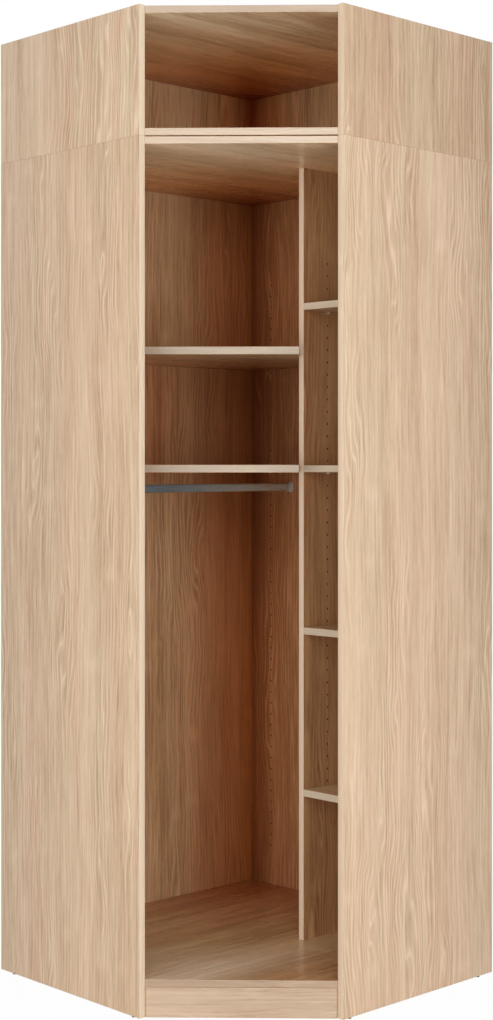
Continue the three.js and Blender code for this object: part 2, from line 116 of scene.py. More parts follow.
BAY_SHELF_COUNT = 4

# Meshes
WELD_DISTANCE = 1e-6
SHARP_ANGLE = math.radians(50)
TURNED_SIDES = 24
GLIDE_SIDES = 32
ROUND_STEPS = 3
OVAL_POINTS = 64
CUP_ARC_POINTS = 33

# Edge bands: colour, and its share over the print. A band a little paler than the faces is real; past
# that each board's band is set to the light its edge gets: darker on the corner shelves, the lower floor
# and the upper top (painted shade), lighter on the divider, the bay shelves and the side panels (painted
# light)
SHELF_BAND = ((0.417, 0.380, 0.298), 0.60)
BAY_SHELF_BAND = ((0.860, 0.790, 0.620), 0.65)
LOWER_TOP_BAND = ((0.550, 0.435, 0.325), 0.60)
UPPER_FLOOR_BAND = ((0.585, 0.480, 0.365), 0.60)
UPPER_TOP_BAND = ((0.430, 0.325, 0.245), 0.60)
FLOOR_BAND = ((0.340, 0.237, 0.165), 0.60)
PLINTH_BAND = ((0.560, 0.500, 0.480), 0.15)
LEFT_BAND = ((0.944, 0.800, 0.605), 0.60)
RIGHT_BAND = ((0.835, 0.670, 0.493), 0.60)
DIVIDER_BAND = ((0.980, 0.790, 0.600), 0.90)

# Painted light and shade inside, by share of the depth from the rear corner, and colour: painted shade
# that darkens and reddens the print towards the rear corner, and painted light, above 1, near the
# opening and on the top box's walls
LEFT_LIGHT_AND_SHADE = ((0.02, (0.55, 0.24, 0.08)), (0.11, (0.72, 0.42, 0.24)), (0.25, (1.06, 0.97, 0.80)),
              (0.57, (1.08, 1.07, 0.92)), (0.88, (1.15, 1.15, 1.05)))
RIGHT_LIGHT_AND_SHADE = ((0.02, (0.56, 0.25, 0.09)), (0.09, (1.05, 0.73, 0.49)), (0.25, (1.15, 1.02, 0.84)))
FLOOR_LIGHT_AND_SHADE = ((0.02, (0.45, 0.22, 0.08)), (0.15, (0.62, 0.30, 0.15)), (0.47, (0.93, 0.78, 0.60)),
               (0.66, (1.02, 0.98, 0.78)), (0.88, (1.22, 1.38, 1.46)))
CEILING_LIGHT_AND_SHADE = ((0.02, (0.44, 0.08, 0.01)), (0.20, (0.90, 0.52, 0.23)), (0.40, (1.38, 1.03, 0.65)),
                 (0.58, (1.38, 1.26, 0.95)), (0.88, (1.25, 1.34, 1.34)))
LOWER_CEILING_LIGHT_AND_SHADE = ((0.02, (0.44, 0.10, 0.02)), (0.20, (0.84, 0.48, 0.22)), (0.40, (1.38, 1.00, 0.60)),
                       (0.58, (1.40, 1.25, 0.92)), (0.88, (1.38, 1.48, 1.48)))
TOP_WALL_LIGHT_AND_SHADE = ((0.02, (0.50, 0.12, 0.02)), (0.09, (1.15, 0.82, 0.50)), (0.18, (1.40, 1.43, 1.25)))
# Painted shade between the two corner shelves along the left wall: a darker, redder colour from and to these
# levels, and from this far along the wall
SHELF_GAP_SHADE = (1.00, 0.78, 0.69, 1)
SHELF_GAP_SHADE_FROM = (1.25, 1.33)
SHELF_GAP_SHADE_TO = 1.589
SHELF_GAP_SHADE_ALONG = (0.15, 0.42)
# Painted shade in the narrow bay right of the divider: an even darker colour in place of the depth's, from
# this y on, and how sharply each kind of board passes into it
BAY_PAINTED_SHADE = (0.817, 0.628, 0.448, 1)
BAY_FROM_Y = 0.5825
BAY_SHARP = 0.0001
BAY_SOFT = 0.20
BAY_FAINT = 0.90
FLOOR_LEVEL = 0.076
TOP_LEVEL = 2.4025
OUTSIDE_CONTRAST = 1.25
INSIDE_CONTRAST = 1.90

# The oak print: its tones, and its layers as steps across and along the grain in a metre, with the
# noise's detail and roughness
PRINT_LIGHT = (0.830, 0.628, 0.440, 1)
PRINT_MIDDLE = (0.662, 0.470, 0.308, 1)
PRINT_DARK = (0.440, 0.268, 0.150, 1)
PRINT_LAYERS = {
    "slow wander": (2.4, 1.3, 2.0, 0.50),
    "quick wander": (14.0, 4.5, 2.0, 0.50),
    "patches": (8.0, 1.8, 1.0, 0.50),
    "flames": (14.0, 2.7, 2.0, 0.40),
    "wide zones": (4.5, 0.25, 2.0, 0.50),
    "narrow zones": (16.0, 0.22, 2.0, 0.50),
    "streaks": (24.0, 2.2, 3.0, 0.65),
    "wisps": (110.0, 9.0, 4.0, 0.80),
    "threads": (85.0, 2.4, 2.0, 0.60),
    "fine threads": (170.0, 5.0, 3.0, 0.70),
    "fibres": (900.0, 30.0, 2.0, 0.65),
    "pores": (2200.0, 70.0, 1.0, 0.50),
    "blush": (11.0, 0.5, 2.0, 0.60),
}

# How far the wander layers bend the grain, the flames raise the rings, and the others change the tone
PRINT_WEIGHTS = {
    "slow wander": 0.055, "quick wander": 0.011, "flames": 19.0, "wide zones": 0.90, "narrow zones": 0.90,
    "streaks": 0.50, "wisps": 0.90, "threads": 0.75, "fine threads": 1.20, "fibres": 0.60,
}
MIDDLE_GREY = 0.5
PATCH_RANGE = (0.48, 0.62)
RING_RATE = 165.0
RING_WEIGHT = 0.10
PATCH_RING_WEIGHT = 0.30
FINE_RING_RATE = 2.6
FINE_RING_WEIGHT = 0.10
PALE_LINE_RANGE = (0.30, 0.0)
PALE_LINE_BASE = 0.25
PALE_LINE_WEIGHT = 0.26
PALE_LINE_MIDDLE = 0.12
PORE_RANGE = (0.58, 0.72)
PORE_WEIGHT = 0.12
CURL_STEPS = (7.0, 7.5)
CURL_RANGE = (0.26, 0.04)
CURL_WEIGHT = 0.16
TONE_REACH = 0.8
BLUSH_RANGE = (0.38, 0.62)
COOL_HUE = (0.986, 1.006, 1.000, 1)
WARM_HUE = (1.022, 0.990, 0.996, 1)
FIBRE_RISE = 0.6
SEED_STEP = 5.3
BEECH_SEED = 91.0

# The boards' surface, in which lying boards are the smoother ones
STANDING_ROUGHNESS = (0.38, 0.30)
LYING_ROUGHNESS = (0.30, 0.23)
GRAIN_RANGE = (-0.6, 0.6)
BUMP_STRENGTH = 0.10
BUMP_DISTANCE = 0.0003
FACING_LIMIT = 0.6

# Metals: colour, painted light colour by the rear corner (lighter, where less light falls), roughness,
# brush lines in a metre, share of bare metal
RAIL_STEEL = ((0.225, 0.30, 0.345), (0.84, 1.00, 1.00), 0.30, 900.0, 0.15)
PIN_ZINC = ((0.86, 0.81, 0.74), (0.86, 0.81, 0.74), 0.34, 1500.0, 0.45)
SOCKET_ZINC = ((0.62, 0.72, 0.76), (0.84, 1.00, 1.00), 0.34, 1500.0, 0.20)
BRUSH_LENGTH = 40
BRUSH_DETAIL = 3.0
BRUSH_CONTRAST = 0.14
BRUSH_RANGE = (0.2, 0.8)
BRUSH_SPREAD = 0.07

# Speckled surfaces: colour, roughness, specular level, speckles in a metre
BLACK_PLASTIC = ((0.010, 0.010, 0.010), 0.6, 0.2, 3000.0)
# The holes' walls: the board's brown core, darkened well past chipboard's own tone as painted shade in the
# holes
HOLE_CORE_AND_SHADE = ((0.110, 0.062, 0.034), 0.9, 0.1, 900.0)
SPECKLE_DETAIL = 2.0
SPECKLE_GAIN = 1.4
SPECKLE_RANGE = (0.3, 0.7)
SPECKLE_SPREAD = 0.06

# Studio: floor, light from all round, and area lamps with their place, target, size and power
STUDIO_FLOOR_COLOUR = (0.86, 0.86, 0.86, 1)
STUDIO_FLOOR_ROUGHNESS = 0.9
STUDIO_FLOOR_REACH = 30.0
STUDIO_FLOOR_WHITE = 0.97
AMBIENT = 0.52
LAMPS = {
    "high front softbox": ((0.1, -4.6, 3.5), (0.0, -0.3, 1.0), (2.6, 1.6), 25.0),
    "middle front softbox": ((0.1, -4.9, 2.5), (0.0, -0.3, 2.3), (2.6, 0.8), 20.0),
    "low front softbox": ((0.1, -4.9, 0.7), (0.0, -0.3, 2.0), (2.6, 1.0), 14.0),
    "left softbox": ((-2.4, -4.2, 0.9), (-0.45, -0.3, 1.3), (2.4, 1.6), 38.0),
    "right softbox": ((2.4, -4.2, 0.9), (0.45, -0.3, 1.3), (2.4, 1.6), 44.0),
}

# Camera, fitted to the photograph's edges
IMAGE_WIDTH = 493
IMAGE_HEIGHT = 1020
FOCAL_PIXELS = 1731
PRINCIPAL_POINT = (261.0, 466.5)
CAMERA_PLACE = (0.1278, -4.601, 1.3185)
CAMERA_YAW = 0.0198
CAMERA_PITCH = -0.002
SENSOR_MM = 36


# Node trees

def add_node(tree, kind, label=None, **settings):
    """A node of the given type, with its settings and a plain label."""
    made = tree.nodes.new(kind)
    for name, value in settings.items():
        setattr(made, name, value)
    if label:
        made.label = label
    return made


def feed(tree, socket, value):
    """Sets an input socket to a number or colour, or links another node's output to it."""
    if isinstance(value, bpy.types.NodeSocket):
        tree.links.new(value, socket)
    else:
        socket.default_value = value


def maths(tree, operation, *values, label=None):
    """The result of a Math node on one or two values."""
    made = add_node(tree, "ShaderNodeMath", label, operation=operation)
    for socket, value in zip(made.inputs, values):
        feed(tree, socket, value)
    return made.outputs[0]


def remapped(tree, value, low, high, to_low=0.0, to_high=1.0, course="SMOOTHSTEP"):
    """A value carried from one range to another, and held at its ends."""
    made = add_node(tree, "ShaderNodeMapRange", interpolation_type=course)
    for name, number in (("Value", value), ("From Min", low), ("From Max", high),
                         ("To Min", to_low), ("To Max", to_high)):
        feed(tree, made.inputs[name], number)
    return made.outputs["Result"]


def mixed(tree, factor, first, second, blend="MIX"):
    """Two colours mixed by a factor."""
    made = add_node(tree, "ShaderNodeMix", data_type="RGBA", blend_type=blend)
    feed(tree, made.inputs["Factor"], factor)
    feed(tree, made.inputs["A"], first)
    feed(tree, made.inputs["B"], second)
    return made.outputs["Result"]


def noise(tree, vector, scale, detail, roughness=0.5):
    """The grey value of a noise texture at a vector."""
    made = add_node(tree, "ShaderNodeTexNoise")
    feed(tree, made.inputs["Vector"], vector)
    made.inputs["Scale"].default_value = scale
    made.inputs["Detail"].default_value = detail
    made.inputs["Roughness"].default_value = roughness
    return made.outputs["Fac"]


def stretched(tree, across, along, seed, across_scale, along_scale):
    """A vector whose steps along the grain are longer than those across it."""
    made = add_node(tree, "ShaderNodeCombineXYZ")
    feed(tree, made.inputs["X"], maths(tree, "MULTIPLY", across, across_scale))
    feed(tree, made.inputs["Y"], maths(tree, "MULTIPLY", along, along_scale))
    feed(tree, made.inputs["Z"], seed)
    return made.outputs[0]


def new_group(name, inputs, outputs):
    """An empty shader node group with named sockets: (name, socket type, value) and (name, type)."""
    group = bpy.data.node_groups.new(name, "ShaderNodeTree")
    for label, kind, value in inputs:
        group.interface.new_socket(label, in_out="INPUT", socket_type=kind).default_value = value
    for label, kind in outputs:
        group.interface.new_socket(label, in_out="OUTPUT", socket_type=kind)
    return group, group.nodes.new("NodeGroupInput").outputs, group.nodes.new("NodeGroupOutput").inputs


def new_material(name):
    """A node material, its tree and its Principled shader."""
    material = bpy.data.materials.new(name)
    material.use_nodes = True
    return material, material.node_tree, material.node_tree.nodes["Principled BSDF"]


def constant(node, **values):
    """Sets inputs of a node that are the same all over the surface."""
    for name, value in values.items():
        node.inputs[name.replace("_", " ")].default_value = value


# Oak print

def make_oak_print():
    """Printed oak figure: streaks at every scale, growth rings cut into flames, pale curls and pores.

    The rings are the level lines of h = across * ring_rate + flame * noise. The flame noise only
    works in patches, so most of the board has straight lines, and there they close into arches.
    Contrast widens the print's tones about their middle.
    """
    group, given, out = new_group(
        "oak print",
        [("Across", "NodeSocketFloat", 0.0), ("Along", "NodeSocketFloat", 0.0),
         ("Seed", "NodeSocketFloat", 0.0), ("Contrast", "NodeSocketFloat", 1.0),
         ("Light", "NodeSocketColor", PRINT_LIGHT), ("Middle", "NodeSocketColor", PRINT_MIDDLE),
         ("Dark", "NodeSocketColor", PRINT_DARK)],
        [("Color", "NodeSocketColor"), ("Height", "NodeSocketFloat"), ("Grain", "NodeSocketFloat")])
    across, along, seed = given["Across"], given["Along"], given["Seed"]

    def added(first, *others):
        for other in others:
            first = maths(group, "ADD", first, other)
        return first

    def weighed(value, weight, middle=MIDDLE_GREY):
        return maths(group, "MULTIPLY", maths(group, "SUBTRACT", value, middle), weight)

    def figure(place, layer):
        across_scale, along_scale, detail, roughness = PRINT_LAYERS[layer]
        vector = stretched(group, place, along, seed, across_scale, along_scale)
        return noise(group, vector, 1.0, detail, roughness)

    def layers(place, *names):
        return added(*(weighed(figure(place, name), PRINT_WEIGHTS[name]) for name in names))

    wander = layers(across, "slow wander", "quick wander")
    bent = maths(group, "ADD", across, wander, label="wandering across")
    patch = remapped(group, figure(bent, "patches"), *PATCH_RANGE)
    flame = maths(group, "MULTIPLY", layers(bent, "flames"), patch)
    level = maths(group, "ADD", maths(group, "MULTIPLY", bent, RING_RATE), flame, label="growth rings")
    ring = maths(group, "PINGPONG", level, 1.0)
    fine_ring = maths(group, "PINGPONG", maths(group, "MULTIPLY", level, FINE_RING_RATE), 1.0)
    ring_strength = maths(group, "ADD", maths(group, "MULTIPLY", patch, PATCH_RING_WEIGHT), RING_WEIGHT)
    rings = maths(group, "MULTIPLY", weighed(ring, 1.0), ring_strength)
    pale_line = maths(group, "MULTIPLY", remapped(group, ring, *PALE_LINE_RANGE),
                      maths(group, "ADD", patch, PALE_LINE_BASE))

    fibre = figure(bent, "fibres")
    pores = remapped(group, figure(bent, "pores"), *PORE_RANGE)
    curls = add_node(group, "ShaderNodeTexVoronoi", "pale curls")
    group.links.new(stretched(group, bent, along, seed, *CURL_STEPS), curls.inputs["Vector"])
    curls.inputs["Scale"].default_value = 1.0
    curl = remapped(group, curls.outputs["Distance"], *CURL_RANGE)

    tone = added(layers(bent, "wide zones", "narrow zones", "streaks", "wisps", "threads", "fine threads"),
                 weighed(fibre, PRINT_WEIGHTS["fibres"]),
                 weighed(pale_line, PALE_LINE_WEIGHT, PALE_LINE_MIDDLE),
                 maths(group, "MULTIPLY", curl, CURL_WEIGHT))
    for darker in (rings, weighed(fine_ring, FINE_RING_WEIGHT), maths(group, "MULTIPLY", pores, PORE_WEIGHT)):
        tone = maths(group, "SUBTRACT", tone, darker)
    tone = maths(group, "MULTIPLY", tone, given["Contrast"], label="tone")

    lightness = remapped(group, tone, 0.0, TONE_REACH, course="LINEAR")
    darkness = remapped(group, tone, 0.0, -TONE_REACH, course="LINEAR")
    colour = mixed(group, darkness, mixed(group, lightness, given["Middle"], given["Light"]), given["Dark"])
    blush = remapped(group, figure(bent, "blush"), *BLUSH_RANGE)
    hue = mixed(group, blush, COOL_HUE, WARM_HUE)
    group.links.new(mixed(group, 1.0, colour, hue, "MULTIPLY"), out["Color"])
    raised = maths(group, "MULTIPLY", fibre, FIBRE_RISE)
    group.links.new(maths(group, "SUBTRACT", raised, pores), out["Height"])
    group.links.new(tone, out["Grain"])
    return group


oak_print = make_oak_print()

# Directions of the room corner's axes, seen in the wardrobe's frame
CORNER_AXES = {
    "x": (math.cos(CORNER_TURN), math.sin(CORNER_TURN), 0.0),
    "y": (-math.sin(CORNER_TURN), math.cos(CORNER_TURN), 0.0),
    "z": (0.0, 0.0, 1.0),
}


def corner_position(tree):
    """Object coordinates laid in the room corner's frame: x along the left wall, y along the right."""
    place = add_node(tree, "ShaderNodeTexCoord")
    turn = add_node(tree, "ShaderNodeMapping", "room corner frame", vector_type="TEXTURE")
    turn.inputs["Location"].default_value = (0.0, REAR_CORNER_Y, 0.0)
    turn.inputs["Rotation"].default_value = (0.0, 0.0, CORNER_TURN)
    tree.links.new(place.outputs["Object"], turn.inputs["Vector"])
    split = add_node(tree, "ShaderNodeSeparateXYZ")
    tree.links.new(turn.outputs[0], split.inputs[0])
    return {axis: split.outputs[axis.upper()] for axis in "xyz"}, place.outputs["Normal"]


def facing(tree, normal, axis):
    """1 where the surface faces along a corner axis, either way, and 0 elsewhere."""
    dot = add_node(tree, "ShaderNodeVectorMath", operation="DOT_PRODUCT")
    tree.links.new(normal, dot.inputs[0])
    dot.inputs[1].default_value = CORNER_AXES[axis]
    return maths(tree, "GREATER_THAN", maths(tree, "ABSOLUTE", dot.outputs["Value"]), FACING_LIMIT)


def chosen(tree, mask, off, on):
    """One of two numbers, by a mask."""
    made = add_node(tree, "ShaderNodeMix", data_type="FLOAT")
    for name, value in (("Factor", mask), ("A", off), ("B", on)):
        feed(tree, made.inputs[name], value)
    return made.outputs["Result"]


def inside_mask(tree, place):
    """1 on surfaces within the carcase, behind its front and between its outer boards."""
    forwards = maths(tree, "ADD", place["x"], place["y"])
    rooms = [maths(tree, "SUBTRACT", FRONT_SUM - INSIDE_MARGIN, forwards)]
    for axis, low, high in (("x", BACK_FACE - INSIDE_MARGIN, INNER_FACE + INSIDE_MARGIN),
                            ("y", BACK_FACE - INSIDE_MARGIN, INNER_FACE + INSIDE_MARGIN),
                            ("z", FLOOR_LEVEL + INSIDE_MARGIN, TOP_LEVEL - INSIDE_MARGIN)):
        rooms += [maths(tree, "SUBTRACT", place[axis], low), maths(tree, "SUBTRACT", high, place[axis])]
    room = functools.reduce(functools.partial(maths, tree, "MINIMUM"), rooms)
    return maths(tree, "GREATER_THAN", room, 0.0)


def inside_light_and_shade(tree, place, light_and_shade_steps, bay):
    """Painted light and shade inside: by the distance from the rear corner, and an even painted shade in
    the bay. Between the two corner shelves a painted shade darkens and reddens it along the left wall.
    """
    depth = maths(tree, "DIVIDE", maths(tree, "ADD", place["x"], place["y"]), FRONT_SUM)
    ramp = add_node(tree, "ShaderNodeValToRGB", "painted light and shade inside")
    stops = ramp.color_ramp.elements
    while len(stops) < len(light_and_shade_steps):
        stops.new(1.0)
    for stop, (position, colour) in zip(stops, light_and_shade_steps):
        stop.position = position
        stop.color = (*colour, 1)
    tree.links.new(depth, ramp.inputs["Fac"])
    # Painted shade between the corner shelves, along the left wall
    shelf_gap_shade = maths(tree, "MULTIPLY", remapped(tree, place["z"], *SHELF_GAP_SHADE_FROM),
                  maths(tree, "LESS_THAN", place["z"], SHELF_GAP_SHADE_TO))
    shelf_gap_shade = maths(tree, "MULTIPLY", shelf_gap_shade, remapped(tree, place["x"], *SHELF_GAP_SHADE_ALONG))
    corner = mixed(tree, shelf_gap_shade, ramp.outputs["Color"], SHELF_GAP_SHADE, "MULTIPLY")
    # Painted shade in the bay
    bay_shade_share = remapped(tree, place["y"], BAY_FROM_Y, BAY_FROM_Y + bay)
    return mixed(tree, bay_shade_share, corner, BAY_PAINTED_SHADE)


def oak_board(name, through, grain, seed, band=LEFT_BAND, light_and_shade_steps=LEFT_LIGHT_AND_SHADE, bay=BAY_SHARP):
    """A finish for one board: through is the axis of its thickness, grain that of its faces' print.

    Its edges carry a band whose grain runs along the edge. On a standing board the band runs up the
    edge, and across the board at its two ends. On a lying board it runs along the diagonal opening.
    """
    material, tree, shader = new_material(name)
    place, normal = corner_position(tree)
    face = facing(tree, normal, through)
    flat = next(axis for axis in "xyz" if axis not in (through, grain))
    if through == "z":
        band_along = maths(tree, "MULTIPLY", maths(tree, "SUBTRACT", place["x"], place["y"]), DIAGONAL_SHARE)
    else:
        band_along = chosen(tree, facing(tree, normal, "z"), place["z"], place[flat])
    figure = add_node(tree, "ShaderNodeGroup", "oak print")
    figure.node_tree = oak_print
    feed(tree, figure.inputs["Across"], chosen(tree, face, place[through], place[flat]))
    feed(tree, figure.inputs["Along"], chosen(tree, face, band_along, place[grain]))
    figure.inputs["Seed"].default_value = seed
    within = inside_mask(tree, place)
    feed(tree, figure.inputs["Contrast"], chosen(tree, within, OUTSIDE_CONTRAST, INSIDE_CONTRAST))
    # Inside the carcase the print is multiplied by painted light and shade: painted shade towards the rear
    # corner, between the corner shelves and in the bay, painted light near the opening and in the top box
    tint = mixed(tree, within, (1, 1, 1, 1), inside_light_and_shade(tree, place, light_and_shade_steps, bay))
    faces = mixed(tree, 1.0, figure.outputs["Color"], tint, "MULTIPLY")
    band_colour, band_share = band
    edge_band = mixed(tree, band_share, figure.outputs["Color"], (*band_colour, 1))
    tree.links.new(mixed(tree, face, edge_band, faces), shader.inputs["Base Color"])
    dull, glossy = LYING_ROUGHNESS if through == "z" else STANDING_ROUGHNESS
    roughness = remapped(tree, figure.outputs["Grain"], *GRAIN_RANGE, dull, glossy)
    tree.links.new(roughness, shader.inputs["Roughness"])
    bump = add_node(tree, "ShaderNodeBump")
    constant(bump, Strength=BUMP_STRENGTH, Distance=BUMP_DISTANCE)
    tree.links.new(figure.outputs["Height"], bump.inputs["Height"])
    tree.links.new(bump.outputs[0], shader.inputs["Normal"])
    return material


def brushed_metal(name, colour, painted_light_colour, roughness, brush_scale, metallic):
    """Metal with fine brush lines, whose noise varies colour and gloss. Its colour may go over to a lighter
    one towards the rear corner: painted light.
    """
    material, tree, shader = new_material(name)
    place, _ = corner_position(tree)
    brushed = stretched(tree, place["z"], place["x"], place["y"], brush_scale, brush_scale / BRUSH_LENGTH)
    lines = noise(tree, brushed, 1.0, BRUSH_DETAIL)
    # Painted light: lighter colour towards the rear corner, where less light falls
    painted_light_share = remapped(tree, place["x"], PAINTED_LIGHT_REACH, 0.0)
    ground = mixed(tree, painted_light_share, (*colour, 1), (*painted_light_colour, 1))
    shade = maths(tree, "ADD", maths(tree, "MULTIPLY", lines, BRUSH_CONTRAST), 1 - BRUSH_CONTRAST)
    tree.links.new(mixed(tree, 1.0, ground, shade, "MULTIPLY"), shader.inputs["Base Color"])
    gloss = remapped(tree, lines, *BRUSH_RANGE, roughness - BRUSH_SPREAD, roughness + BRUSH_SPREAD)
    tree.links.new(gloss, shader.inputs["Roughness"])
    constant(shader, Metallic=metallic)
    return material


def speckled(name, colour, roughness, gloss, scale):
    """A matt surface of fine speckles: moulded plastic's texture, or the chips of a board's core."""
    material, tree, shader = new_material(name)
    place = add_node(tree, "ShaderNodeTexCoord")
    speckle = noise(tree, place.outputs["Object"], scale, SPECKLE_DETAIL)
    pale = [SPECKLE_GAIN * value for value in colour]
    tree.links.new(mixed(tree, speckle, (*colour, 1), (*pale, 1)), shader.inputs["Base Color"])
    dullness = remapped(tree, speckle, *SPECKLE_RANGE, roughness - SPECKLE_SPREAD, roughness + SPECKLE_SPREAD)
    tree.links.new(dullness, shader.inputs["Roughness"])
    constant(shader, Specular_IOR_Level=gloss)
    return material


# The boards: axes of the thickness and of the grain, edge band, painted light and shade inside, and the
# way into the bay's painted shade
BOARDS = {
    "lower_left_side": ("x", "z", LEFT_BAND, LEFT_LIGHT_AND_SHADE, BAY_SHARP),
    "lower_right_side": ("y", "z", RIGHT_BAND, LEFT_LIGHT_AND_SHADE, BAY_SHARP),
    "lower_left_back": ("y", "z", LEFT_BAND, LEFT_LIGHT_AND_SHADE, BAY_SHARP),
    "lower_right_back": ("x", "z", RIGHT_BAND, RIGHT_LIGHT_AND_SHADE, BAY_SHARP),
    "divider": ("y", "z", DIVIDER_BAND, LEFT_LIGHT_AND_SHADE, BAY_SHARP),
    "upper_left_side": ("x", "z", LEFT_BAND, TOP_WALL_LIGHT_AND_SHADE, BAY_FAINT),
    "upper_right_side": ("y", "z", RIGHT_BAND, TOP_WALL_LIGHT_AND_SHADE, BAY_FAINT),
    "upper_left_back": ("y", "z", LEFT_BAND, TOP_WALL_LIGHT_AND_SHADE, BAY_FAINT),
    "upper_right_back": ("x", "z", RIGHT_BAND, TOP_WALL_LIGHT_AND_SHADE, BAY_FAINT),
    "lower_floor": ("z", "x", FLOOR_BAND, FLOOR_LIGHT_AND_SHADE, BAY_SOFT),
    "lower_top": ("z", "x", LOWER_TOP_BAND, LOWER_CEILING_LIGHT_AND_SHADE, BAY_FAINT),
    "upper_floor": ("z", "x", UPPER_FLOOR_BAND, CEILING_LIGHT_AND_SHADE, BAY_FAINT),
    "upper_top": ("z", "x", UPPER_TOP_BAND, CEILING_LIGHT_AND_SHADE, BAY_FAINT),
    "fixed_corner_shelf": ("z", "x", SHELF_BAND, LEFT_LIGHT_AND_SHADE, BAY_FAINT),
    "loose_corner_shelf": ("z", "x", SHELF_BAND, LEFT_LIGHT_AND_SHADE, BAY_FAINT),
    **{f"bay_shelf_{number + 1}": ("z", "y", BAY_SHELF_BAND, LEFT_LIGHT_AND_SHADE, BAY_FAINT)
       for number in range(BAY_SHELF_COUNT)},
    "plinth": ("z", "x", PLINTH_BAND, LEFT_LIGHT_AND_SHADE, BAY_FAINT),
    "floor_bearer": ("z", "x", PLINTH_BAND, LEFT_LIGHT_AND_SHADE, BAY_FAINT),
}


BODY_OF = {node: body for body, nodes in frame["record"]["behaviour"]["bodies"].items() for node in nodes}
finishes = {}


def assign(node, material):
    """Gives a carried-over solid its finish."""
    finishes[node] = material
    solid = frame["nodes"][node]
    solid.data.materials.clear()
    solid.data.materials.append(material)


for number, (node, (through, grain, *finish)) in enumerate(BOARDS.items()):
    assign(node, oak_board(f"oak board {node}", through, grain, SEED_STEP * number, *finish))

steel = brushed_metal("rail steel", *RAIL_STEEL)
zinc = brushed_metal("zinc plate", *PIN_ZINC)
socket_zinc = brushed_metal("socket zinc", *SOCKET_ZINC)
black_plastic = speckled("black plastic", *BLACK_PLASTIC)
hole_core_and_shade = speckled("board core with painted hole shade", *HOLE_CORE_AND_SHADE)
beech = oak_board("beech dowel", "x", "z", BEECH_SEED)

for node in frame["nodes"]:
    if node == "hanging_rail":
        assign(node, steel)
    elif node.startswith(("rail_socket", "socket_screw")):
        assign(node, socket_zinc)
    elif node.startswith(("corner_pin", "bay_pin")):
        assign(node, zinc)
    elif node.startswith(("glide", "plinth_block")):
        assign(node, black_plastic)
    elif node.startswith("stack_dowel"):
        assign(node, beech)


# Finer pieces, as surfaces worked out in the room corner's frame. A shell is its points and its
# faces: arrays of faces with equal numbers of corners, each of one kind.
FLAT, SMOOTH, BORED = range(3)


def ring_quads(rows, columns, closed_rows=False):
    """Quads between neighbouring rows of a grid whose columns close round, and rows too if asked."""
    row = np.arange(rows if closed_rows else rows - 1)[:, None]
    column = np.arange(columns)[None, :]
    below = (row + 1) % rows * columns
    beside = (column + 1) % columns
    start = row * columns
    quads = np.stack((start + column, below + column, below + beside, start + beside), axis=-1)
    return quads.reshape(-1, 4)


def joined(*shells):
    """Several shells as one."""
    starts = np.cumsum([0] + [len(points) for points, _ in shells])
    parts = [(faces + start, kind) for (_, shell), start in zip(shells, starts) for faces, kind in shell]
    return np.concatenate([points for points, _ in shells]), parts


def turned(profile, start, axis, sides=TURNED_SIDES):
    """A profile of radius and distance, carried round an axis from a start point, its ends closed."""
    radius, distance = np.array(profile, float).T
    axis = np.array(axis, float)
    first = np.roll(axis, 1)
    second = np.cross(axis, first)
    angle = np.arange(sides) * (math.tau / sides)
    circle = np.outer(np.cos(angle), first) + np.outer(np.sin(angle), second)
    middle = np.array(start) + distance[:, None] * axis
    rings = middle[:, None, :] + radius[:, None, None] * circle
    quads = ring_quads(len(profile), sides)[:, ::-1]
    low_end = np.arange(sides)[None, ::-1]
    high_end = low_end[:, ::-1] + (len(profile) - 1) * sides
    return rings.reshape(-1, 3), [(quads, SMOOTH), (low_end, FLAT), (high_end, FLAT)]


def moved_in(outline, distances):
    """An outline moved inwards by each distance: every corner goes along (n1 + n2) / (1 + n1.n2)."""
    edges = np.roll(outline, -1, axis=0) - outline
    across = np.column_stack((-edges[:, 1], edges[:, 0]))
    inward = across / np.linalg.norm(edges, axis=1)[:, None]
    before = np.roll(inward, 1, axis=0)
    mitre = (inward + before) / (1 + np.sum(inward * before, axis=1))[:, None]
    return outline + np.asarray(distances)[:, None, None] * mitre


# Where a board's two outline axes and its thickness point, by the axis that its thickness follows
BOARD_AXES = {
    "x": ((0, 1, 0), (0, 0, 1), (1, 0, 0)),
    "y": ((1, 0, 0), (0, 0, 1), (0, -1, 0)),
    "z": ((1, 0, 0), (0, 1, 0), (0, 0, 1)),
}


def laid(points, through):
    """Points of outline and thickness, carried to x, y and z."""
    return points @ np.array(BOARD_AXES[through], float)


def rim(outline, low, high, radius):
    """A board's edge: a profile with two quarter-rounds, carried round the outline."""
    turn = np.linspace(0, math.pi / 2, ROUND_STEPS + 1)
    inset = radius * (1 - np.sin(turn))
    drop = radius * (1 - np.cos(turn))
    rings = moved_in(outline, np.concatenate((inset, inset[::-1])))
    levels = np.concatenate((high - drop, (low + drop)[::-1]))
    heights = np.broadcast_to(levels[:, None, None], (*rings.shape[:2], 1))
    points = np.concatenate((rings, heights), axis=2).reshape(-1, 3)
    quads = ring_quads(len(levels), len(outline))
    flat = slice(ROUND_STEPS * len(outline), (ROUND_STEPS + 1) * len(outline))
    rounded = np.delete(quads, np.r_[flat], axis=0)
    return points, [(rounded, SMOOTH), (quads[flat], FLAT)]


def plate(outline, low, high, radius, through):
    """A board of an outline, with its rim and two flat faces."""
    points, parts = rim(outline, low, high, radius)
    top = np.arange(len(outline))[None, :]
    bottom = len(points) - 1 - top
    return laid(points, through), parts + [(top, FLAT), (bottom, FLAT)]


